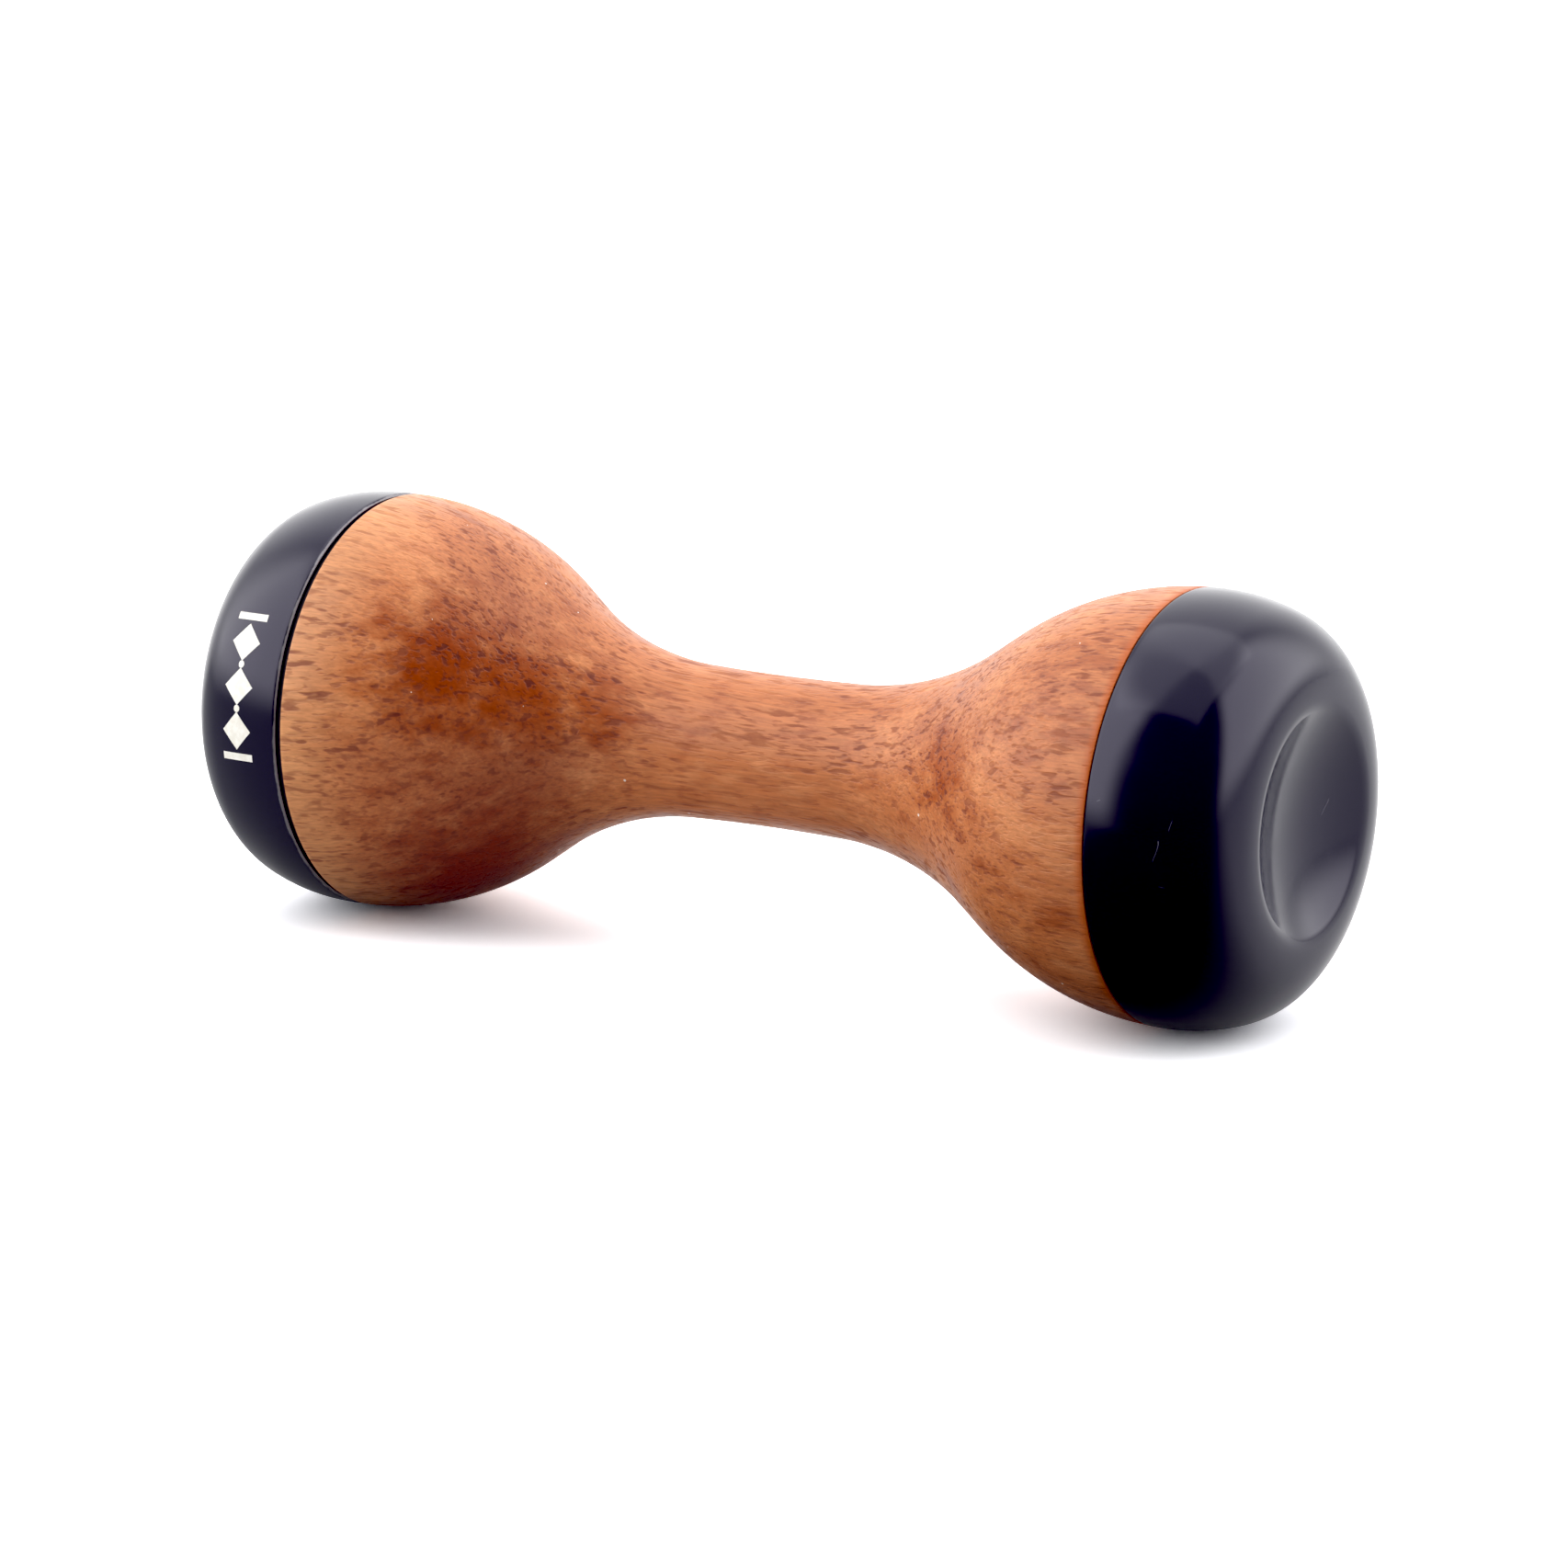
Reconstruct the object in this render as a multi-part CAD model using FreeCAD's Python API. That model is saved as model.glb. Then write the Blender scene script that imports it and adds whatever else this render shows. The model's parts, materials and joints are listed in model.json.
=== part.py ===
"""Double-ended turned hand mallet: a waisted hardwood body with a dished black metal cap on each end.

The turning axis lies along X, the front cap at +X. The object rests on its side, on the widest ring of
each head, so z = 0 is the surface that it lies on. All lengths are in millimetres.
"""

import FreeCAD, Part

import math
import os

# Driving dimensions
HEAD_RADIUS = 18.0          # widest radius, just inside each cap
NECK_RADIUS = 6.4           # thinnest radius, at the middle of the grip
BODY_HALF_LENGTH = 38.5     # middle of the grip to the shoulder that a cap seats on
CAP_HEIGHT = 11.5
WASHER_THICKNESS = 0.6      # the dark ring that shows under the rear cap

# Outline of the wooden body
CROWN_FROM_MIDDLE = 39.5    # where the head is widest
CROWN_ARC = 27.0            # outline radius of the head
FLARE_ARC = 26.0            # outline radius where the grip opens into the head
WAIST_ARC = 220.0           # outline radius of the grip, which is almost straight
TAPER_ANGLE = math.radians(35.0)

# Outline of a cap
BARREL_TURN = math.radians(20.0)    # how far the cap's side turns in before its round shoulder begins
RIM_RADIUS = 10.2                   # radius of the ring that the cap would stand on
LIP_ARC = 2.4                       # outline radius of the dish's edge
DISH_TURN = math.radians(27.0)      # how steep the dish is at its edge
EDGE_CHAMFER = 0.15

# Joint between a cap and the body
SPIGOT_RADIUS = 12.0
SPIGOT_LENGTH = 3.0
RECESS_RADIUS = 12.1
RECESS_DEPTH = 3.2
WASHER_INSET = 0.55                 # how far the washer's edge lies below the cap's side

# Threaded insert, brass, pressed into each end of the body
INSERT_LENGTH = 13.5
INSERT_RADIUS = 5.0
BARB_RADIUS = 5.6
BARB_COUNT = 4
FLANGE_RADIUS = 7.0
FLANGE_THICKNESS = 1.0
INSERT_MOUTH_CHAMFER = 0.5
INSERT_END_WALL = 1.0

# Stud, steel, one in each cap
PITCH = 1.25
STUD_CREST_RADIUS = 3.95
STUD_ROOT_RADIUS = 3.25
THREAD_LENGTH = 10.0
THREAD_CLEARANCE = 0.08
SHANK_RADIUS = 3.5
SHANK_LENGTH = 4.5
STUD_TIP_CHAMFER = 0.8
CREST_FLAT = PITCH / 8.0
ROOT_FLAT = PITCH / 4.0
RIDGE_OVERLAP = 0.2                 # how deep the swept ridge is sunk into its core before they are joined

AXIS_X = FreeCAD.Vector(1, 0, 0)
AXIS_Z = FreeCAD.Vector(0, 0, 1)
ORIGIN = FreeCAD.Vector(0, 0, 0)
BODY_CENTRE = FreeCAD.Vector(WASHER_THICKNESS / 2.0, 0, HEAD_RADIUS)


def point(along, radius):
    """A point of an outline: a distance along the turning axis, and a radius from it."""
    return FreeCAD.Vector(along, 0, radius)


class Outline:
    """Edges drawn one after another, from a start point and a slope, that keep tangent to each other."""

    def __init__(self, along, radius, slope=0.0):
        self.along, self.radius, self.slope = along, radius, slope
        self.edges = []

    def line_to(self, along, radius):
        self.edges.append(Part.LineSegment(point(self.along, self.radius), point(along, radius)).toShape())
        self.along, self.radius = along, radius

    def line(self, length):
        self.line_to(self.along + length * math.cos(self.slope), self.radius + length * math.sin(self.slope))

    def arc(self, arc_radius, end_slope):
        """A round stretch that turns from the present slope to end_slope."""
        side = 1.0 if end_slope > self.slope else -1.0
        centre_along = self.along - side * arc_radius * math.sin(self.slope)
        centre_radius = self.radius + side * arc_radius * math.cos(self.slope)

        def at(slope):
            return point(
                centre_along + side * arc_radius * math.sin(slope),
                centre_radius - side * arc_radius * math.cos(slope),
            )

        start, end = point(self.along, self.radius), at(end_slope)
        self.edges.append(Part.Arc(start, at((self.slope + end_slope) / 2.0), end).toShape())
        self.along, self.radius, self.slope = end.x, end.z, end_slope

    def turned(self):
        """The closed outline turned once round the axis."""
        return Part.Face(Part.Wire(self.edges)).revolve(ORIGIN, AXIS_X, 360.0)


def half_body():
    """Half of the wooden body, from the middle of the grip to the end of its spigot."""
    crown_slope = math.asin((CROWN_FROM_MIDDLE - BODY_HALF_LENGTH) / CROWN_ARC)
    taper_top = FreeCAD.Vector(
        CROWN_FROM_MIDDLE - CROWN_ARC * math.sin(TAPER_ANGLE),
        0,
        HEAD_RADIUS - CROWN_ARC * (1.0 - math.cos(TAPER_ANGLE)),
    )
    # The waist, the flare and the taper share tangents, so the waist's turn follows from the space left.
    waist_turn = 0.0
    for _ in range(40):
        rise = WAIST_ARC * (1.0 - math.cos(waist_turn))
        rise += FLARE_ARC * (math.cos(waist_turn) - math.cos(TAPER_ANGLE))
        run = WAIST_ARC * math.sin(waist_turn)
        run += FLARE_ARC * (math.sin(TAPER_ANGLE) - math.sin(waist_turn))
        taper_run = (taper_top.z - NECK_RADIUS - rise) / math.tan(TAPER_ANGLE)
        waist_turn = waist_turn + (taper_top.x - taper_run - run) / WAIST_ARC
    outline = Outline(0.0, NECK_RADIUS)
    outline.arc(WAIST_ARC, waist_turn)
    outline.arc(FLARE_ARC, TAPER_ANGLE)
    outline.line((taper_top.x - outline.along) / math.cos(TAPER_ANGLE))
    outline.arc(CROWN_ARC, crown_slope)
    outline.line_to(BODY_HALF_LENGTH, SPIGOT_RADIUS)
    outline.line_to(BODY_HALF_LENGTH + SPIGOT_LENGTH, SPIGOT_RADIUS)
    outline.line_to(BODY_HALF_LENGTH + SPIGOT_LENGTH, 0.0)
    outline.line_to(0.0, 0.0)
    outline.line_to(0.0, NECK_RADIUS)
    return outline.turned()


def turned_cap():
    """A cap seated at BODY_HALF_LENGTH: rounded side and shoulder, a dish, and a recess for the spigot."""
    end = BODY_HALF_LENGTH + CAP_HEIGHT
    run = end - CROWN_FROM_MIDDLE
    drop = HEAD_RADIUS - RIM_RADIUS
    sine, cosine = math.sin(BARREL_TURN), math.cos(BARREL_TURN)
    # Two arcs, tangent at BARREL_TURN, that together cover the run and the drop.
    shoulder_arc = (drop * sine - run * (1.0 - cosine)) / (cosine * sine - (1.0 - sine) * (1.0 - cosine))
    barrel_arc = (run - shoulder_arc * (1.0 - sine)) / sine
    dish_arc = RIM_RADIUS / math.sin(DISH_TURN) - LIP_ARC
    seat_slope = math.asin((CROWN_FROM_MIDDLE - BODY_HALF_LENGTH - EDGE_CHAMFER) / barrel_arc)
    seat_radius = HEAD_RADIUS - barrel_arc * (1.0 - math.cos(seat_slope))
    outline = Outline(BODY_HALF_LENGTH + EDGE_CHAMFER, seat_radius, seat_slope)
    outline.arc(barrel_arc, -BARREL_TURN)
    outline.arc(shoulder_arc, -math.pi / 2.0)
    outline.arc(LIP_ARC, -math.pi / 2.0 - DISH_TURN)
    outline.arc(dish_arc, -math.pi / 2.0)
    recess_floor = BODY_HALF_LENGTH + RECESS_DEPTH
    outline.line_to(outline.along, 0.0)
    outline.line_to(recess_floor + SHANK_LENGTH, 0.0)
    outline.line_to(recess_floor + SHANK_LENGTH, SHANK_RADIUS)
    outline.line_to(recess_floor, SHANK_RADIUS)
    outline.line_to(recess_floor, RECESS_RADIUS)
    outline.line_to(BODY_HALF_LENGTH, RECESS_RADIUS)
    outline.line_to(BODY_HALF_LENGTH, seat_radius - EDGE_CHAMFER)
    outline.line_to(BODY_HALF_LENGTH + EDGE_CHAMFER, seat_radius)
    return outline.turned()


def thread_ridge(start, length, root, crest, grow):
    """A helical ridge along X. grow widens it on both flanks, for the groove that a stud runs in."""
    depth = STUD_CREST_RADIUS - STUD_ROOT_RADIUS
    flank = (PITCH - ROOT_FLAT - CREST_FLAT) / 2.0 / depth
    low = root - RIDGE_OVERLAP
    half_crest = CREST_FLAT / 2.0 + grow
    half_low = half_crest + flank * (crest - low)
    corners = [(-half_low, low), (-half_crest, crest), (half_crest, crest), (half_low, low)]
    profile = Part.makePolygon([FreeCAD.Vector(radius, 0, along) for along, radius in corners + corners[:1]])
    helix = Part.makeHelix(PITCH, length, crest)
    ridge = Part.Wire(helix.Edges).makePipeShell([profile], True, True)
    ridge.rotate(ORIGIN, FreeCAD.Vector(0, 1, 0), 90.0)
    ridge.translate(FreeCAD.Vector(start, 0, 0))
    return ridge


def rod(start, end, radius):
    return Part.makeCylinder(radius, end - start, FreeCAD.Vector(start, 0, 0), AXIS_X)


INSERT_MOUTH = BODY_HALF_LENGTH + SPIGOT_LENGTH
INSERT_FLOOR = INSERT_MOUTH - INSERT_LENGTH
# Studs and inserts share one start for their helix, so that they are in mesh. The sweep overruns both ends.
THREAD_START = INSERT_FLOOR - 2.0 * PITCH
THREAD_SWEEP = INSERT_LENGTH + 5.0 * PITCH


def insert_shell():
    """The outside of the insert, a flange and rings of barbs, which is also the hole it is pressed into."""
    outline = Outline(INSERT_MOUTH, 0.0)
    outline.line_to(INSERT_MOUTH, FLANGE_RADIUS)
    outline.line_to(INSERT_MOUTH - FLANGE_THICKNESS, FLANGE_RADIUS)
    outline.line_to(INSERT_MOUTH - FLANGE_THICKNESS, INSERT_RADIUS)
    spacing = (INSERT_LENGTH - FLANGE_THICKNESS) / (BARB_COUNT + 0.5)
    barb = INSERT_MOUTH - FLANGE_THICKNESS - spacing / 2.0
    outline.line_to(barb, INSERT_RADIUS)
    for _ in range(BARB_COUNT):
        outline.line_to(barb, BARB_RADIUS)
        barb -= spacing
        outline.line_to(barb, INSERT_RADIUS)
    outline.line_to(INSERT_FLOOR, 0.0)
    outline.line_to(INSERT_MOUTH, 0.0)
    return outline.turned()


def threaded_rod(root, crest, grow):
    """A core with its helical ridge, longer at both ends than the pieces made from it."""
    core = rod(THREAD_START - 2.0 * PITCH, THREAD_START + THREAD_SWEEP + 2.0 * PITCH, root)
    return core.fuse(thread_ridge(THREAD_START, THREAD_SWEEP, root, crest, grow))


def threaded_insert():
    bore_radius = STUD_ROOT_RADIUS + THREAD_CLEARANCE + 0.02
    groove_radius = STUD_CREST_RADIUS + THREAD_CLEARANCE
    hole = rod(INSERT_FLOOR + INSERT_END_WALL, INSERT_MOUTH + PITCH, groove_radius + 0.5)
    tapped_hole = threaded_rod(bore_radius, groove_radius, THREAD_CLEARANCE).common(hole)
    mouth_radius = groove_radius + INSERT_MOUTH_CHAMFER
    countersink = Part.makeCone(
        0.0,
        mouth_radius,
        mouth_radius,
        FreeCAD.Vector(INSERT_MOUTH - mouth_radius, 0, 0),
        AXIS_X,
    )
    return insert_shell().cut(tapped_hole).cut(countersink)


def stud(seat_gap):
    """A stud whose cap stands seat_gap off the body's shoulder: a plain shank, with a thread below it."""
    recess_floor = BODY_HALF_LENGTH + seat_gap + RECESS_DEPTH
    tip = INSERT_MOUTH - THREAD_LENGTH
    blank = Part.makeCone(
        STUD_CREST_RADIUS - STUD_TIP_CHAMFER,
        STUD_CREST_RADIUS + 0.1,
        STUD_TIP_CHAMFER + 0.1,
        FreeCAD.Vector(tip, 0, 0),
        AXIS_X,
    ).fuse(rod(tip + STUD_TIP_CHAMFER + 0.1, INSERT_MOUTH, STUD_CREST_RADIUS + 0.1))
    threaded = threaded_rod(STUD_ROOT_RADIUS, STUD_CREST_RADIUS, 0.0).common(blank)
    shank = rod(INSERT_MOUTH, recess_floor + SHANK_LENGTH, SHANK_RADIUS)
    return threaded.fuse(shank).Solids[0]


def washer():
    outer = HEAD_RADIUS - WASHER_INSET
    ring = rod(BODY_HALF_LENGTH, BODY_HALF_LENGTH + WASHER_THICKNESS, outer)
    return ring.cut(rod(BODY_HALF_LENGTH, BODY_HALF_LENGTH + WASHER_THICKNESS, RECESS_RADIUS))


def turned_to_rear(shape):
    """The same piece on the other end: a half turn about Z, which keeps a thread right-handed."""
    other = shape.copy()
    other.rotate(ORIGIN, AXIS_Z, 180.0)
    return other


def wood_body():
    half = half_body().cut(insert_shell())
    return half.fuse(turned_to_rear(half)).removeSplitter()


def assembly():
    cap, insert = turned_cap(), threaded_insert()
    rear_cap = turned_to_rear(cap)
    rear_cap.translate(FreeCAD.Vector(-WASHER_THICKNESS, 0, 0))
    return {
        "wood_body": wood_body(),
        "front_cap": cap,
        "rear_cap": rear_cap,
        "front_insert": insert,
        "rear_insert": turned_to_rear(insert),
        "front_stud": stud(0.0),
        "rear_stud": turned_to_rear(stud(WASHER_THICKNESS)),
        "rear_washer": turned_to_rear(washer()),
    }


os.makedirs("parts", exist_ok=True)
for name, shape in assembly().items():
    shape.translate(BODY_CENTRE)
    shape.exportStep(f"parts/{name}.step")
    box = shape.optimalBoundingBox()
    print(
        f"{name:14s} solids {len(shape.Solids)} valid {shape.isValid()} volume {shape.Volume:9.1f}"
        f" x {box.XMin:7.2f} {box.XMax:7.2f} z {box.ZMin:6.2f} {box.ZMax:6.2f}"
    )
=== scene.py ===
"""Looks for the double-ended turned mallet: a waisted hardwood body between two black metal caps.

Metres throughout. The turning axis lies along X with the front cap at +X, and the object rests on z = 0.
"""

import json
from math import asin, cos, pi, radians, sin

import bmesh
import bpy
from mathutils import Matrix, Vector

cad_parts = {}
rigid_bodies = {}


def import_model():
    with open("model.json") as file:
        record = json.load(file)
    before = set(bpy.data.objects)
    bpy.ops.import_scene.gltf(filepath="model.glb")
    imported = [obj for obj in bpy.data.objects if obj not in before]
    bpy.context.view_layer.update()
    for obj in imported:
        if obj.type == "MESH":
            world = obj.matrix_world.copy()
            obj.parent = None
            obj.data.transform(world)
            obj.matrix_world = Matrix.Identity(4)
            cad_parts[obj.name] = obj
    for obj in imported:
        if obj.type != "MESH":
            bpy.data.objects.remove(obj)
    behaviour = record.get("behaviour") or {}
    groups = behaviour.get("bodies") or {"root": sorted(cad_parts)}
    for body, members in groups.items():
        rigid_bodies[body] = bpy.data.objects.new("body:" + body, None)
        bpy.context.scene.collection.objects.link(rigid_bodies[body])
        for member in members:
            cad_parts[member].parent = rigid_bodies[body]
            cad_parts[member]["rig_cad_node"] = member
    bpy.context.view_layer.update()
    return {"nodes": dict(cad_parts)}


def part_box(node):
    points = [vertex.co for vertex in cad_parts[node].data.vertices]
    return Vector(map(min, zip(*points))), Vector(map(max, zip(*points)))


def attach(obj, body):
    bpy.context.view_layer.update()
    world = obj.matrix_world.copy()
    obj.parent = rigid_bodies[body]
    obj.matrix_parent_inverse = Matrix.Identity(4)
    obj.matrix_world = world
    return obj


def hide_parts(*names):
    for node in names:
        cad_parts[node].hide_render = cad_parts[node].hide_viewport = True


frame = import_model()

# ---- The wooden body ---------------------------------------------------------------------------------
# One piece of open-pored reddish-brown hardwood, turned between centres with its grain along the axis.
# Each end has a flat shoulder for a cap, a short spigot that centres the cap, and a bored pocket for a
# threaded insert. It is sanded fine and rubbed with oil to a satin sheen.

MM = 0.001
BODY_LOW, BODY_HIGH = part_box("wood_body")
BODY_MIDDLE = (BODY_LOW.x + BODY_HIGH.x) / 2.0
HEAD_RADIUS = 18.0
AXIS_HEIGHT = HEAD_RADIUS * MM
SHOULDER = 38.5             # from the body's middle to a cap's seat
WIDEST = 39.5               # from the body's middle to the widest ring of the head
SPIGOT_RADIUS = 12.0
SPIGOT_END = 41.5
FLANGE_RADIUS = 7.0         # the insert's flange, level with the spigot's end
FLANGE_THICKNESS = 1.0
POCKET_RADIUS = 5.6
POCKET_DEPTH = 13.5
ROUND_STEPS = 240           # flats round a turned piece, too fine to see


def on_axis(along, radius):
    """Where a place of the outline is: along from the body's middle and radius from the axis, in mm."""
    return Vector((BODY_MIDDLE + along * MM, 0.0, AXIS_HEIGHT + radius * MM))


def start_outline(name, along, radius):
    """A new piece that is a single point yet, with its origin on the axis at the body's middle."""
    bpy.ops.object.select_all(action="DESELECT")
    bpy.ops.mesh.primitive_plane_add(size=MM, location=on_axis(0.0, 0.0))
    bpy.context.object.name = name
    bpy.ops.object.mode_set(mode="EDIT")
    bpy.ops.mesh.select_all(action="SELECT")
    bpy.ops.mesh.merge(type="CENTER")
    bpy.ops.transform.translate(value=(along * MM, 0.0, radius * MM))
    return bpy.context.object


def line_to(along, radius):
    """Draws the outline on to a place in a straight line."""
    tip = next(v.co for v in bmesh.from_edit_mesh(bpy.context.object.data).verts if v.select)
    step = (along * MM - tip.x, 0.0, radius * MM - tip.z)
    bpy.ops.mesh.extrude_region_move(TRANSFORM_OT_translate={"value": step})


def bend(centre_along, centre_radius, degrees, steps):
    """Draws the outline on round a centre. Positive degrees bend it down, towards the axis."""
    bpy.ops.mesh.spin(
        steps=steps, angle=-radians(degrees), center=on_axis(centre_along, centre_radius), axis=(0, 1, 0)
    )


def turn_outline(edge_round):
    """Turns the finished outline about the axis, closes the result and softens its edges."""
    bpy.ops.mesh.select_all(action="SELECT")
    bpy.ops.mesh.spin(steps=ROUND_STEPS, angle=2.0 * pi, center=on_axis(0.0, 0.0), axis=(1, 0, 0))
    bpy.ops.mesh.select_all(action="SELECT")
    bpy.ops.mesh.remove_doubles(threshold=0.002 * MM)
    bpy.ops.mesh.normals_make_consistent(inside=False)
    bpy.ops.object.mode_set(mode="OBJECT")
    piece = bpy.context.object
    bevel = piece.modifiers.new("edges", "BEVEL")
    bevel.limit_method = "ANGLE"
    bevel.angle_limit = radians(32.0)
    bevel.width = edge_round * MM
    bevel.segments = 2
    bpy.ops.object.modifier_apply(modifier=bevel.name)


def settle():
    """Puts the piece's place into its mesh and shades it smooth, with creases where it has edges."""
    bpy.ops.object.transform_apply(location=True, rotation=True, scale=True)
    bpy.ops.object.shade_smooth_by_angle(angle=radians(35.0))


NECK_RADIUS = 6.4
WAIST_ARC = 220.0           # the grip, which is almost straight
FLARE_ARC = 26.0
CROWN_ARC = 27.0
WAIST_TURN = 1.884          # degrees
TAPER_ANGLE = 35.0
SHOULDER_SLOPE = asin((WIDEST - SHOULDER) / CROWN_ARC) * 180.0 / pi
waist_gap = WAIST_ARC - FLARE_ARC
wood = start_outline("turned_wood", 0.0, NECK_RADIUS)
bend(0.0, NECK_RADIUS + WAIST_ARC, -WAIST_TURN, 10)
bend(
    waist_gap * sin(radians(WAIST_TURN)),
    NECK_RADIUS + WAIST_ARC - waist_gap * cos(radians(WAIST_TURN)),
    WAIST_TURN - TAPER_ANGLE,
    30,
)
line_to(
    WIDEST - CROWN_ARC * sin(radians(TAPER_ANGLE)),
    HEAD_RADIUS - CROWN_ARC * (1.0 - cos(radians(TAPER_ANGLE))),
)
bend(WIDEST, HEAD_RADIUS - CROWN_ARC, TAPER_ANGLE - SHOULDER_SLOPE, 32)
line_to(SHOULDER, SPIGOT_RADIUS)
line_to(SPIGOT_END, SPIGOT_RADIUS)
line_to(SPIGOT_END, FLANGE_RADIUS)
line_to(SPIGOT_END - FLANGE_THICKNESS, FLANGE_RADIUS)
line_to(SPIGOT_END - FLANGE_THICKNESS, POCKET_RADIUS)
line_to(SPIGOT_END - POCKET_DEPTH, POCKET_RADIUS)
line_to(SPIGOT_END - POCKET_DEPTH, 0.0)
turn_outline(edge_round=0.12)
mirror = wood.modifiers.new("other half", "MIRROR")
mirror.use_axis[0] = True
mirror.merge_threshold = 0.002 * MM
bpy.ops.object.modifier_apply(modifier=mirror.name)
settle()


def add_node(tree, kind, settings=None, **inputs):
    """A node with its settings made, and each named input given a value or joined to another's output."""
    node = tree.nodes.new("ShaderNode" + kind)
    for name, value in (settings or {}).items():
        setattr(node, name, value)
    for name, value in inputs.items():
        socket = node.inputs[int(name[1:])] if name[1:].isdigit() else node.inputs[name.replace("_", " ")]
        if isinstance(value, bpy.types.NodeSocket):
            tree.links.new(value, socket)
        else:
            socket.default_value = value
    return node


def maths(tree, operation, *values):
    settings = {"operation": operation}
    return add_node(tree, "Math", settings, **{f"i{i}": v for i, v in enumerate(values)}).outputs[0]


def blend_of(tree, share, low, high, blend_type="MIX"):
    settings = {"data_type": "RGBA", "blend_type": blend_type}
    return add_node(tree, "Mix", settings, i0=share, i6=low, i7=high).outputs[2]


def grey_of(tree, value):
    return add_node(tree, "CombineColor", i0=value, i1=value, i2=value).outputs[0]


def fade(tree, value, start, end, low=0.0, high=1.0):
    """Runs smoothly from low to high as value goes from start to end."""
    settings = {"interpolation_type": "SMOOTHSTEP"}
    return add_node(
        tree, "MapRange", settings, Value=value, From_Min=start, From_Max=end, To_Min=low, To_Max=high
    ).outputs[0]


def new_material(name, slot, *pieces):
    """Puts a new material on each of the pieces, and gives its node tree and its Principled shader."""
    material = bpy.data.materials.new(name)
    material.use_nodes = True
    for piece in pieces:
        piece.data.materials.clear()
        piece.data.materials.append(material)
    return material.node_tree, material.node_tree.nodes["Principled BSDF"]


def join_up(tree, shader, tone, roughness, relief, strength, depth):
    """Joins a colour, a roughness and a fine relief, with its depth in mm, to a shader."""
    bump = add_node(tree, "Bump", Height=relief, Strength=strength, Distance=depth * MM).outputs[0]
    tree.links.new(tone, shader.inputs["Base Color"])
    tree.links.new(roughness, shader.inputs["Roughness"])
    tree.links.new(bump, shader.inputs["Normal"])


def about_axis(tree):
    """The place on the object measured from the middle of the body, in metres."""
    place = add_node(tree, "TexCoord").outputs["Object"]
    return add_node(tree, "Mapping", Vector=place, Location=(-BODY_MIDDLE, 0.0, -AXIS_HEIGHT)).outputs[0]


def off_axis(tree, place):
    """How far a place is from the line along X through the origin."""
    across = add_node(tree, "SeparateXYZ", Vector=place).outputs
    squares = maths(tree, "ADD", maths(tree, "POWER", across[1], 2.0), maths(tree, "POWER", across[2], 2.0))
    return maths(tree, "SQRT", squares)


def strongest(tree, *masks):
    best = masks[0]
    for mask in masks[1:]:
        best = maths(tree, "MAXIMUM", best, mask)
    return best


def part_of(tree, mask, share):
    return maths(tree, "MULTIPLY", mask, share)


def stretched(tree, place, scale):
    return add_node(tree, "Mapping", Vector=place, Scale=scale).outputs[0]


def noise(tree, place, scale, detail=2.0, roughness=0.5):
    return add_node(
        tree, "TexNoise", Vector=place, Scale=scale, Detail=detail, Roughness=roughness
    ).outputs[0]


def new_group(name, asked, given):
    """An empty node group, the values that it is asked for, and the socket for what it gives."""
    group = bpy.data.node_groups.new(name, "ShaderNodeTree")
    for value in asked:
        group.interface.new_socket(value, in_out="INPUT", socket_type="NodeSocketFloat")
    group.interface.new_socket(given, in_out="OUTPUT", socket_type="NodeSocketFloat")
    return group, group.nodes.new("NodeGroupInput").outputs, group.nodes.new("NodeGroupOutput").inputs[given]


# Fine specks of dust, shared by the oiled wood and the caps.
dust, dust_in, dust_out = new_group("dust specks", ("Spacing", "Size", "Share"), "Speck")
dust_place = add_node(dust, "TexCoord").outputs["Object"]
dust_cells = add_node(
    dust, "TexVoronoi", Vector=dust_place, Scale=maths(dust, "DIVIDE", 1.0, dust_in["Spacing"])
).outputs
dust_lot = add_node(dust, "SeparateColor", Color=dust_cells["Color"]).outputs
dust_size = maths(dust, "DIVIDE", dust_in["Size"], dust_in["Spacing"])
dust_size = maths(dust, "MULTIPLY", dust_size, fade(dust, dust_lot[1], 0.0, 1.0, 0.4, 1.0))
dust_spot = maths(dust, "LESS_THAN", dust_cells["Distance"], dust_size)
dust_kept = maths(dust, "LESS_THAN", dust_lot[0], dust_in["Share"])
dust.links.new(maths(dust, "MULTIPLY", dust_spot, dust_kept), dust_out)

tree, shader = new_material("oiled_hardwood", "wood", wood)
place = about_axis(tree)
# The grain wanders a little from side to side. Growth layers lie round a pith outside the piece.
drift = add_node(tree, "TexNoise", Vector=stretched(tree, place, (14.0, 30.0, 30.0)), Scale=1.0, Detail=1.5)
drift = add_node(tree, "VectorMath", {"operation": "SUBTRACT"}, i0=drift.outputs[1], i1=(0.5, 0.5, 0.5))
drift = add_node(tree, "VectorMath", {"operation": "MULTIPLY"}, i0=drift.outputs[0], i1=(0.0, 0.007, 0.007))
grain = add_node(tree, "VectorMath", {"operation": "ADD"}, i0=place, i1=drift.outputs[0]).outputs[0]
from_pith = add_node(tree, "Mapping", Vector=grain, Location=(0.0, -0.030, 0.022)).outputs[0]
ring = off_axis(tree, from_pith)
layers = add_node(tree, "TexNoise", {"noise_dimensions": "1D"}, W=ring, Scale=260.0, Detail=2.0).outputs[0]
mottle = noise(tree, stretched(tree, grain, (230.0, 620.0, 620.0)), 1.0, 4.0, 0.62)
fibre = noise(tree, stretched(tree, grain, (160.0, 5200.0, 5200.0)), 1.0, 3.0, 0.6)
RAGGED = 8.0                # how far the edge of a stain strays


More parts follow.
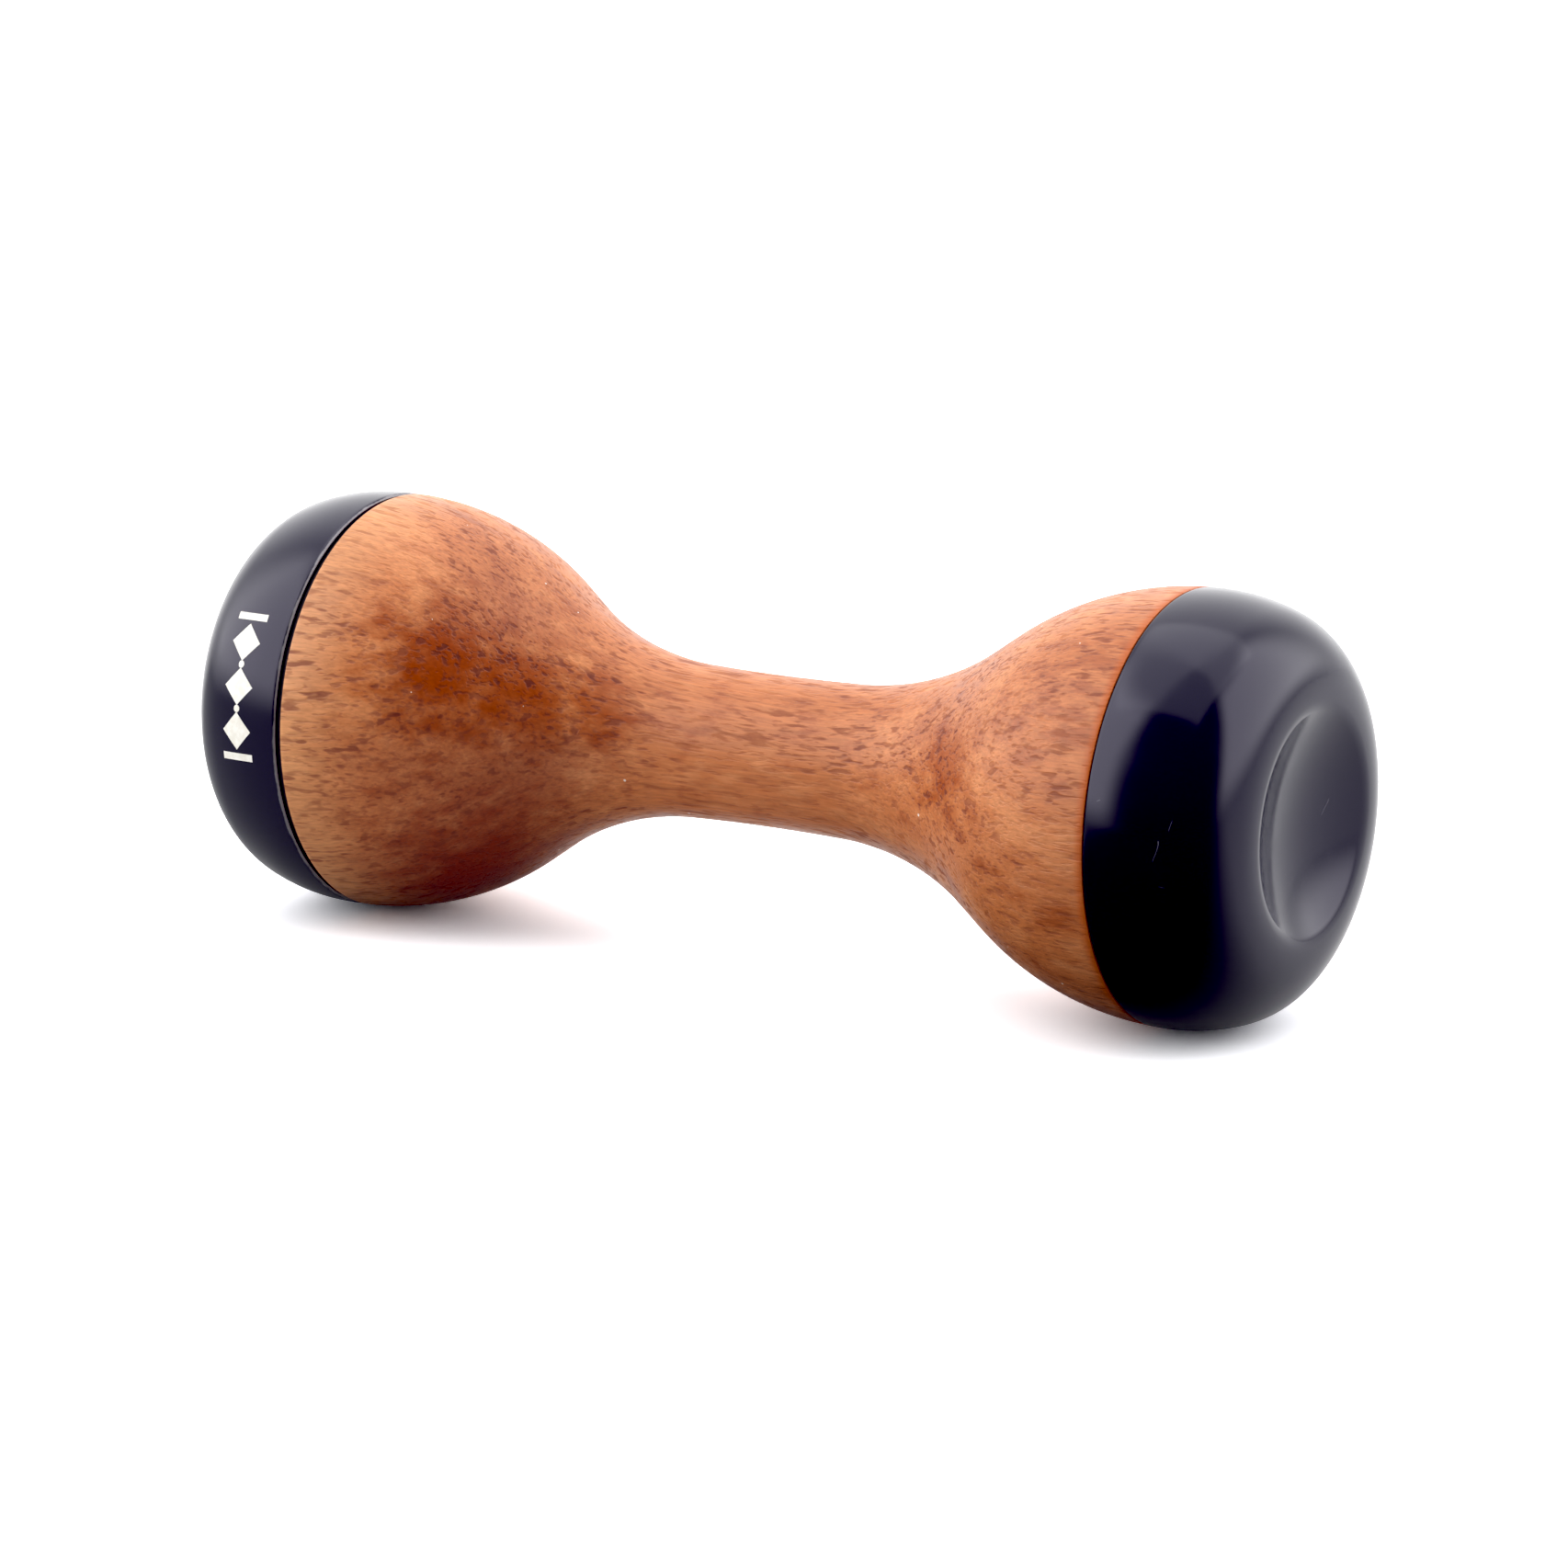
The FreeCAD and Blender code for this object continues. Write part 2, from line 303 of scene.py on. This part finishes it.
def stain(reach, *centre):
    """How strongly a dark ragged patch shows round a centre, in mm from the middle of the body."""
    centre = [value * MM for value in centre]
    gap = add_node(tree, "VectorMath", {"operation": "DISTANCE"}, i0=grain, i1=centre).outputs["Value"]
    gap = maths(tree, "ADD", gap, part_of(tree, maths(tree, "SUBTRACT", mottle, 0.5), RAGGED * MM))
    return fade(tree, gap, 0.15 * reach * MM, reach * MM, 1.0, 0.0)


def flecks(along, across, least):
    """Short dark dashes along the grain, which come out as dots where the surface cuts across it."""
    scale = (1.0 / (along * MM), 1.0 / (across * MM), 1.0 / (across * MM))
    return fade(tree, noise(tree, stretched(tree, grain, scale), 1.0, 1.0), least, least + 0.13)


# Wild grain: amber patches on the rear head and weaker ones where the front head narrows, and brown round
# the rear ones. Painted shade: a deep red-brown darkens the rear head's underside, standing for its shade.
amber_stain = strongest(
    tree,
    stain(9.0, -26.0, -12.8, 5.5),
    part_of(tree, stain(8.0, -19.5, -10.0, 3.6), 0.85),
    part_of(tree, stain(6.0, -13.5, -7.0, 3.3), 0.70),
    part_of(tree, stain(15.0, -25.0, -13.0, 0.0), 0.30),
    part_of(tree, stain(6.0, 22.8, -11.8, 3.4), 0.60),
    part_of(tree, stain(4.5, 18.8, -8.3, 5.3), 0.35),
    part_of(tree, stain(4.5, 27.0, -13.0, 7.5), 0.35),
)
brown_stain = strongest(
    tree,
    part_of(tree, stain(9.5, -19.0, -9.5, -3.0), 0.50),
    part_of(tree, stain(11.0, -22.0, -6.5, 11.5), 0.40),
)
# Painted shade: the rear head's underside is darkened to a deep red-brown in place of the shade under it.
underside_painted_shade = part_of(tree, stain(14.0, -25.0, -8.0, -13.0), 0.95)
depth_of_colour = maths(tree, "ADD", part_of(tree, layers, 0.35), part_of(tree, mottle, 0.65))
ramp = add_node(tree, "ValToRGB", Fac=depth_of_colour)
ramp.color_ramp.interpolation = "EASE"
tones = ramp.color_ramp.elements
tones[0].position, tones[0].color = 0.33, (0.335, 0.088, 0.022, 1.0)
tones[1].position, tones[1].color = 0.66, (0.560, 0.208, 0.076, 1.0)
tones.new(0.49).color = (0.470, 0.152, 0.048, 1.0)
# The wood gets paler over the last stretch before the rear cap.
PALE_STRETCH = 8.0
along = add_node(tree, "SeparateXYZ", Vector=place).outputs[0]
pale = fade(tree, along, -(SHOULDER - PALE_STRETCH) * MM, -SHOULDER * MM, 0.0, 0.50)
tone = blend_of(tree, pale, ramp.outputs[0], (0.680, 0.330, 0.140, 1.0))
tone = blend_of(tree, brown_stain, tone, (0.270, 0.065, 0.018, 1.0))
# The painted shade darkens the rear head's underside.
tone = blend_of(tree, underside_painted_shade, tone, (0.190, 0.018, 0.001, 1.0))
tone = blend_of(tree, part_of(tree, amber_stain, 0.95), tone, (0.235, 0.036, 0.0002, 1.0))
streak = fade(tree, fibre, 0.3, 0.7, 0.84, 1.10)
tone = blend_of(tree, 1.0, tone, grey_of(tree, streak), "MULTIPLY")


def vessels(spacing, length, width, share):
    """Open pores: long fine tubes along the grain, which the turned surface cuts into dashes."""
    scale = (1.0 / (length * MM), 1.0 / (spacing * MM), 1.0 / (spacing * MM))
    cells = add_node(tree, "TexVoronoi", Vector=stretched(tree, grain, scale), Scale=1.0).outputs
    lot = add_node(tree, "SeparateColor", Color=cells["Color"]).outputs
    reach = maths(tree, "MULTIPLY", fade(tree, lot[1], 0.0, 1.0, 0.55, 1.0), width / spacing)
    tube = maths(tree, "DIVIDE", cells["Distance"], reach)
    kept = maths(tree, "LESS_THAN", lot[0], share)
    return maths(tree, "MULTIPLY", fade(tree, tube, 0.35, 1.0, 1.0, 0.0), kept)


pores = strongest(
    tree,
    part_of(tree, flecks(2.8, 0.50, 0.55), 0.85),
    part_of(tree, flecks(1.5, 0.30, 0.55), 0.55),
    part_of(tree, vessels(0.80, 9.0, 0.17, 0.7), 0.90),
    part_of(tree, vessels(1.70, 26.0, 0.20, 0.5), 0.70),
)
crowding = noise(tree, stretched(tree, grain, (70.0, 190.0, 190.0)), 1.0)
darkness = fade(tree, depth_of_colour, 0.40, 0.62, 0.88, 0.48)
darkness = maths(tree, "MULTIPLY", darkness, fade(tree, crowding, 0.38, 0.60, 0.40, 1.0))
darkness = maths(tree, "ADD", darkness, part_of(tree, amber_stain, 0.40))
pore_tone = blend_of(tree, amber_stain, (0.150, 0.028, 0.010, 1.0), (0.105, 0.013, 0.001, 1.0))
tone = blend_of(tree, maths(tree, "MULTIPLY", pores, darkness), tone, pore_tone)
# Glue has crept out under the bonded cap and leaves an amber line round the front shoulder's edge.
GLUE_WIDTH = 1.0
GLUE_INSIDE, GLUE_OUTSIDE = 16.4, 17.4  # radii between which it grows to its full colour
glue = fade(tree, along, (SHOULDER - GLUE_WIDTH) * MM, (SHOULDER - 0.1) * MM, 0.0, 0.85)
glue = maths(tree, "MULTIPLY", glue, fade(tree, off_axis(tree, place), GLUE_INSIDE * MM, GLUE_OUTSIDE * MM))
tone = blend_of(tree, glue, tone, (0.42, 0.085, 0.004, 1.0))
specks = add_node(tree, "Group", {"node_tree": dust}, Spacing=1.6 * MM, Size=0.13 * MM, Share=0.16)
specks = specks.outputs[0]
tone = blend_of(tree, part_of(tree, specks, 0.75), tone, (0.85, 0.80, 0.75, 1.0))
sheen = maths(tree, "ADD", fade(tree, mottle, 0.3, 0.7, 0.31, 0.41), part_of(tree, pores, 0.25))
relief = maths(tree, "ADD", part_of(tree, pores, -1.0), part_of(tree, fibre, 0.22))
relief = maths(tree, "ADD", relief, specks)
join_up(tree, shader, tone, sheen, relief, 0.55, 0.06)
shader.inputs["IOR"].default_value = 1.38
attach(wood, "body")
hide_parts("wood_body")

# ---- The threaded inserts ----------------------------------------------------------------------------
# Turned brass bushes with rings of barbs outside and a standard thread inside. Each is pressed into its
# pocket until its flange is level with the spigot's end, and glued there.

turning, turning_in, turning_out = new_group("turning marks", ("Spacing",), "Height")
turned_place = about_axis(turning)
turned_along = add_node(turning, "SeparateXYZ", Vector=turned_place).outputs[0]
# A lathe tool leaves rings: lines of one radius on a face, and of one distance along on a side.
tool_path = maths(turning, "ADD", off_axis(turning, turned_place), turned_along)
tool_path = maths(turning, "DIVIDE", tool_path, turning_in["Spacing"])
tool_rings = add_node(turning, "TexNoise", {"noise_dimensions": "1D"}, W=tool_path, Scale=1.0, Detail=3.0)
turning.links.new(tool_rings.outputs[0], turning_out)

inserts = [frame["nodes"]["front_insert"], frame["nodes"]["rear_insert"]]
tree, shader = new_material("turned_brass", "brass", *inserts)
rings = add_node(tree, "Group", {"node_tree": turning}, Spacing=0.12 * MM).outputs[0]
tarnish = noise(tree, about_axis(tree), 420.0, 4.0)
tone = blend_of(tree, fade(tree, tarnish, 0.4, 0.7), (0.78, 0.56, 0.24, 1.0), (0.50, 0.32, 0.13, 1.0))
join_up(tree, shader, tone, fade(tree, rings, 0.3, 0.7, 0.18, 0.36), rings, 0.3, 0.01)
shader.inputs["Metallic"].default_value = 1.0

# ---- The studs ---------------------------------------------------------------------------------------
# Bright zinc-plated steel with a rolled thread. The plain shank of each is fixed in its cap, and the
# thread runs in the insert. The front one is never undone; the rear one comes out with its cap.

studs = [frame["nodes"]["front_stud"], frame["nodes"]["rear_stud"]]
tree, shader = new_material("zinc_plated_steel", "steel", *studs)
rings = add_node(tree, "Group", {"node_tree": turning}, Spacing=0.09 * MM).outputs[0]
bloom = noise(tree, about_axis(tree), 650.0, 4.0)
tone = blend_of(tree, fade(tree, bloom, 0.35, 0.7), (0.66, 0.67, 0.70, 1.0), (0.47, 0.49, 0.54, 1.0))
join_up(tree, shader, tone, fade(tree, bloom, 0.3, 0.7, 0.22, 0.38), rings, 0.25, 0.008)
shader.inputs["Metallic"].default_value = 1.0

# ---- The front cap -----------------------------------------------------------------------------------
# Turned from aluminium bar, polished and black anodised: a rounded side, a lip and a shallow dish. Behind,
# a recess fits the spigot and a blind hole holds the stud. It is bonded down with no gap.

CAP_END = 50.0
RIM_RADIUS = 10.2
LIP_ARC = 2.4
DISH_TURN = 27.0
BARREL_TURN = 20.0
EDGE_CHAMFER = 0.15
RECESS_FLOOR = 41.7
RECESS_RADIUS = 12.1
SHANK_RADIUS = 3.5
SHANK_LENGTH = 4.5
WASHER_THICKNESS = 0.6      # how far the rear cap's seat is from the wood
run, drop = CAP_END - WIDEST, HEAD_RADIUS - RIM_RADIUS
turn_sine, turn_cosine = sin(radians(BARREL_TURN)), cos(radians(BARREL_TURN))
SHOULDER_ARC = (drop * turn_sine - run * (1.0 - turn_cosine)) / (
    turn_cosine * turn_sine - (1.0 - turn_sine) * (1.0 - turn_cosine)
)
BARREL_ARC = (run - SHOULDER_ARC * (1.0 - turn_sine)) / turn_sine
seat_slope = asin((WIDEST - SHOULDER - EDGE_CHAMFER) / BARREL_ARC)
seat_radius = HEAD_RADIUS - BARREL_ARC * (1.0 - cos(seat_slope))
front_cap = start_outline("front_cap_turned", RECESS_FLOOR + SHANK_LENGTH, 0.0)
line_to(RECESS_FLOOR + SHANK_LENGTH, SHANK_RADIUS)
line_to(RECESS_FLOOR, SHANK_RADIUS)
line_to(RECESS_FLOOR, RECESS_RADIUS)
line_to(SHOULDER, RECESS_RADIUS)
line_to(SHOULDER, seat_radius - EDGE_CHAMFER)
line_to(SHOULDER + EDGE_CHAMFER, seat_radius)
bend(WIDEST, HEAD_RADIUS - BARREL_ARC, seat_slope * 180.0 / pi + BARREL_TURN, 22)
bend(CAP_END - SHOULDER_ARC, RIM_RADIUS, 90.0 - BARREL_TURN, 34)
bend(CAP_END - LIP_ARC, RIM_RADIUS, DISH_TURN, 12)
dish_reach = RIM_RADIUS / sin(radians(DISH_TURN))
bend(CAP_END - LIP_ARC + dish_reach * cos(radians(DISH_TURN)), 0.0, -DISH_TURN, 24)
turn_outline(edge_round=0.05)
settle()
rear_cap = front_cap.copy()
rear_cap.data = front_cap.data.copy()
rear_cap.name = "rear_cap_turned"
bpy.context.scene.collection.objects.link(rear_cap)

tree, shader = new_material("black_anodised", "cap", front_cap, rear_cap)
place = about_axis(tree)
cloud = noise(tree, place, 55.0, 3.0)
smudge = noise(tree, stretched(tree, place, (1.0, 1.6, 1.0)), 210.0, 4.0, 0.6)
rings = add_node(tree, "Group", {"node_tree": turning}, Spacing=0.10 * MM).outputs[0]
dye, faded_dye = (0.0008, 0.0004, 0.0090, 1.0), (0.0018, 0.0012, 0.0120, 1.0)
tone = blend_of(tree, fade(tree, cloud, 0.3, 0.7), dye, faded_dye)
# A pale line along the sharp rim of the cap that screws off is partly worn dye and partly a painted
# highlight where the rim's chamfer catches the light. Smudges make the line uneven.
to_rear = part_of(tree, add_node(tree, "SeparateXYZ", Vector=place).outputs[0], -1.0)
from_seat = maths(tree, "SUBTRACT", to_rear, (SHOULDER + WASHER_THICKNESS) * MM)
from_seat = maths(tree, "ADD", from_seat, part_of(tree, maths(tree, "SUBTRACT", smudge, 0.5), 0.5 * MM))
rim_wear_and_highlight = fade(tree, from_seat, 0.06 * MM, 0.20 * MM, 0.5, 0.0)
on_rim = maths(tree, "GREATER_THAN", off_axis(tree, place), (seat_radius - EDGE_CHAMFER - 0.05) * MM)
on_rim = maths(tree, "MULTIPLY", on_rim, maths(tree, "GREATER_THAN", to_rear, 0.0))
rim_wear_and_highlight = maths(tree, "MULTIPLY", rim_wear_and_highlight, on_rim)
# Painted highlight, with some wear: the rear cap's seat rim is lightened to a pale grey.
tone = blend_of(tree, rim_wear_and_highlight, tone, (0.45, 0.44, 0.46, 1.0))
specks = add_node(tree, "Group", {"node_tree": dust}, Spacing=3.4 * MM, Size=0.11 * MM, Share=0.16)
specks = specks.outputs[0]
tone = blend_of(tree, part_of(tree, specks, 0.6), tone, (0.42, 0.42, 0.46, 1.0))
# A few hairs of lint follow the line where a slow noise crosses its middle.
hair = maths(tree, "ABSOLUTE", maths(tree, "SUBTRACT", noise(tree, place, 95.0, 1.0), 0.5))
hair = fade(tree, hair, 0.0005, 0.0016, 1.0, 0.0)
hair = maths(tree, "MULTIPLY", hair, fade(tree, noise(tree, place, 260.0), 0.66, 0.68))
tone = blend_of(tree, part_of(tree, hair, 0.22), tone, (0.42, 0.40, 0.46, 1.0))
polish = maths(tree, "ADD", fade(tree, smudge, 0.35, 0.7, 0.13, 0.185), part_of(tree, specks, 0.4))
relief = maths(tree, "ADD", part_of(tree, rings, 0.30), part_of(tree, specks, 2.0))
join_up(tree, shader, tone, polish, relief, 0.22, 0.008)
shader.inputs["IOR"].default_value = 1.44
shader.inputs["Specular Tint"].default_value = (0.90, 0.86, 1.0, 1.0)
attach(front_cap, "body")
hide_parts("front_cap")

# ---- The washer --------------------------------------------------------------------------------------
# A thin ring of black rubber round the rear spigot. The cap squeezes it against the wood when it is
# screwed home, and its edge shows as a dark line a little below both surfaces.

washer = frame["nodes"]["rear_washer"]
tree, shader = new_material("black_rubber", "washer", washer)
grime = noise(tree, about_axis(tree), 900.0, 4.0)
tone = blend_of(tree, grime, (0.010, 0.010, 0.011, 1.0), (0.035, 0.033, 0.032, 1.0))
join_up(tree, shader, tone, fade(tree, grime, 0.2, 0.8, 0.62, 0.85), grime, 0.4, 0.02)

# ---- The rear cap ------------------------------------------------------------------------------------
# The same turning as the front cap, standing off the wood by the washer's thickness. It screws off with
# its stud.

half_turn = Matrix.Translation(on_axis(-WASHER_THICKNESS, 0.0)) @ Matrix.Rotation(pi, 4, "Z")
rear_cap.data.transform(half_turn @ Matrix.Translation(-on_axis(0.0, 0.0)))
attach(rear_cap, "rear_cap")
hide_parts("rear_cap")

# ---- The mark on the rear cap ------------------------------------------------------------------------
# A plain cream ornament printed on the rear cap's side: a bar across the band at each end, and between
# them three lozenges with a bead in each gap.

MARK_ALONG = -43.2
MARK_TILT = 13.0            # degrees that the middle of the mark is turned up from the side of the cap
BAR_SIZE = (3.4, 0.6, 1.0)
BAR_FROM_MIDDLE = 6.0
LOZENGE_RADIUS = 1.6
LOZENGE_SPACING = 3.8
BEAD_RADIUS = 0.32
INK_THICKNESS = 0.03
CLEAR_OF_CAP = 22.0         # from the axis to where the flat mark starts, outside the cap
outward = Vector((0.0, -cos(radians(MARK_TILT)), sin(radians(MARK_TILT))))
bpy.ops.object.select_all(action="DESELECT")
bpy.ops.mesh.primitive_plane_add(size=MM, location=(0.0, 0.0, 0.0))
mark = bpy.context.object
mark.name = "rear_cap_mark"
mark.scale = BAR_SIZE
bpy.ops.object.transform_apply(location=True, rotation=True, scale=True)
bpy.ops.object.mode_set(mode="EDIT")
bpy.ops.mesh.select_all(action="SELECT")
bpy.ops.transform.translate(value=(0.0, -BAR_FROM_MIDDLE * MM, 0.0))
far_bar = (0.0, BAR_FROM_MIDDLE * MM, 0.0)
bpy.ops.mesh.primitive_plane_add(size=MM, location=far_bar)
bpy.ops.transform.resize(value=BAR_SIZE, center_override=far_bar)
for middle_at in (-LOZENGE_SPACING, 0.0, LOZENGE_SPACING):
    bpy.ops.mesh.primitive_circle_add(
        vertices=4, radius=LOZENGE_RADIUS * MM, fill_type="NGON", location=(0.0, middle_at * MM, 0.0)
    )
for middle_at in (-LOZENGE_SPACING / 2.0, LOZENGE_SPACING / 2.0):
    bpy.ops.mesh.primitive_circle_add(
        vertices=16, radius=BEAD_RADIUS * MM, fill_type="TRIFAN", location=(0.0, middle_at * MM, 0.0)
    )
bpy.ops.mesh.select_all(action="SELECT")
bpy.ops.mesh.subdivide(number_cuts=5)
bpy.ops.object.mode_set(mode="OBJECT")
mark.rotation_euler = (pi / 2.0 - radians(MARK_TILT), 0.0, 0.0)
mark.location = on_axis(MARK_ALONG, 0.0) + CLEAR_OF_CAP * MM * outward
bpy.ops.object.transform_apply(location=True, rotation=True, scale=True)
print_on = mark.modifiers.new("laid on the cap", "SHRINKWRAP")
print_on.target = rear_cap
print_on.wrap_method = "PROJECT"
print_on.use_negative_direction = True
print_on.use_positive_direction = False
print_on.offset = INK_THICKNESS / 2.0 * MM
bpy.ops.object.modifier_apply(modifier=print_on.name)
ink_film = mark.modifiers.new("ink film", "SOLIDIFY")
ink_film.thickness = INK_THICKNESS * MM
bpy.ops.object.modifier_apply(modifier=ink_film.name)
settle()

tree, shader = new_material("cream_ink", "cap", mark)
rubbed = noise(tree, about_axis(tree), 1500.0, 4.0, 0.6)
tone = blend_of(tree, fade(tree, rubbed, 0.35, 0.65), (0.80, 0.77, 0.69, 1.0), (0.90, 0.88, 0.82, 1.0))
join_up(tree, shader, tone, fade(tree, rubbed, 0.3, 0.7, 0.42, 0.58), rubbed, 0.3, 0.01)
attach(mark, "rear_cap")

# ---- The floor, the light and the camera -------------------------------------------------------------
# A pale sweep in a white tent that is open and dark on the viewer's side, with a soft box to the left and
# to the right of the opening and a soft light overhead.

VIEW_AZIMUTH, VIEW_ELEVATION = radians(30.81), radians(13.52)
VIEW_DISTANCE = 542.0
AIM_RIGHT, AIM_LOW = 0.43, 2.73     # how far the camera stands to the right of the middle and below it
up = Vector((0.0, 0.0, 1.0))
right = Vector((cos(VIEW_AZIMUTH), sin(VIEW_AZIMUTH), 0.0))
opening = right.cross(up)
ahead = -cos(VIEW_ELEVATION) * opening - sin(VIEW_ELEVATION) * up
above = right.cross(ahead)


def turn_from_opening(tree, heading):
    """How far a heading is turned to the right of the tent's opening, in radians."""
    out = add_node(tree, "VectorMath", {"operation": "DOT_PRODUCT"}, i0=heading, i1=opening).outputs[1]
    aside = add_node(tree, "VectorMath", {"operation": "DOT_PRODUCT"}, i0=heading, i1=right).outputs[1]
    return maths(tree, "ARCTAN2", aside, out)


bpy.ops.object.select_all(action="DESELECT")
bpy.ops.mesh.primitive_plane_add(size=8.0, location=(0.0, 0.0, 0.0))
floor = bpy.context.object
floor.name = "pale_floor"
sweep = bpy.data.materials.new("pale_sweep")
sweep.use_nodes = True
tree = sweep.node_tree
tree.nodes.remove(tree.nodes["Principled BSDF"])
rays = add_node(tree, "LightPath").outputs
swing = turn_from_opening(tree, add_node(tree, "TexCoord").outputs["Object"])
turned = maths(tree, "ABSOLUTE", swing)
# The sweep has one brightness for the light it sends back to the wood, one for its reflection in the
# polished caps, which is dark on the opening's side, and one for the camera, which sees it white.
DARK_TO, PALE_FROM = 0.70, 1.10     # radians from the middle of the opening
bounce = fade(tree, turned, DARK_TO, PALE_FROM, 1.0, 0.0)
bounce = maths(tree, "MULTIPLY", bounce, fade(tree, swing, -0.75, 0.45, 0.95, 0.12))
bounce = maths(tree, "ADD", bounce, fade(tree, turned, DARK_TO, PALE_FROM, 0.0, 0.40))
mirrored = fade(tree, turned, DARK_TO, PALE_FROM, 0.02, 1.0)
mirrored = maths(tree, "MULTIPLY", mirrored, fade(tree, swing, -0.4, 0.6, 0.32, 0.70))
mirrored = maths(tree, "MAXIMUM", mirrored, fade(tree, turned, 2.0, 2.6, 0.0, 0.8))
unseen = blend_of(tree, rays["Is Glossy Ray"], grey_of(tree, bounce), grey_of(tree, mirrored))
white = blend_of(tree, rays["Is Camera Ray"], unseen, (1.38, 1.38, 1.43, 1.0))
paper = add_node(tree, "BsdfDiffuse", Color=white)
tree.links.new(paper.outputs[0], tree.nodes["Material Output"].inputs["Surface"])
floor.data.materials.append(sweep)

world = bpy.data.worlds.new("tent")
bpy.context.scene.world = world
world.use_nodes = True
tree = world.node_tree
heading = add_node(tree, "TexCoord").outputs["Generated"]
height = add_node(tree, "SeparateXYZ", Vector=heading).outputs[2]
turned = maths(tree, "ABSOLUTE", turn_from_opening(tree, heading))
# The tent's walls, the two soft boxes, and a little more light behind the object.
tent = fade(tree, turned, 0.66, 0.98)
boxes = maths(tree, "MULTIPLY", fade(tree, turned, 0.78, 1.00), fade(tree, turned, 1.95, 2.45, 1.0, 0.0))
boxes = maths(tree, "MULTIPLY", boxes, fade(tree, height, -0.02, 0.22))
boxes = maths(tree, "MULTIPLY", boxes, fade(tree, height, 0.80, 0.93, 2.5, 0.0))
behind = fade(tree, turned, 2.1, 2.8, 0.0, 0.7)
tree.nodes["Background"].inputs["Color"].default_value = (1.0, 0.99, 1.0, 1.0)
strength = maths(tree, "ADD", maths(tree, "ADD", tent, boxes), maths(tree, "ADD", behind, 0.002))
tree.links.new(strength, tree.nodes["Background"].inputs["Strength"])

bpy.ops.object.light_add(type="AREA", location=(0.0, 0.0, 1.0))
overhead = bpy.context.object
overhead.name = "overhead_light"
overhead.data.size = 1.1
overhead.data.energy = 3.8

lens = bpy.data.cameras.new("view")
lens.lens, lens.sensor_width = 148.1, 36.0
lens.clip_start, lens.clip_end = 0.01, 50.0
camera = bpy.data.objects.new("view", lens)
aim = on_axis(0.0, 0.0) + AIM_RIGHT * MM * right - AIM_LOW * MM * above
camera.location = aim - VIEW_DISTANCE * MM * ahead
camera.rotation_euler = (pi / 2.0 - VIEW_ELEVATION, 0.0, VIEW_AZIMUTH)
bpy.context.scene.collection.objects.link(camera)
bpy.context.scene.camera = camera
# The picture has a little more contrast than the light gives, with its deepest shades let go to black.
picture = bpy.context.scene.view_settings
picture.view_transform = "Standard"
picture.use_curve_mapping = True
picture.curve_mapping.black_level = (0.012, 0.013, 0.007)
picture.curve_mapping.white_level = (0.96, 0.95, 0.96)
picture.curve_mapping.update()
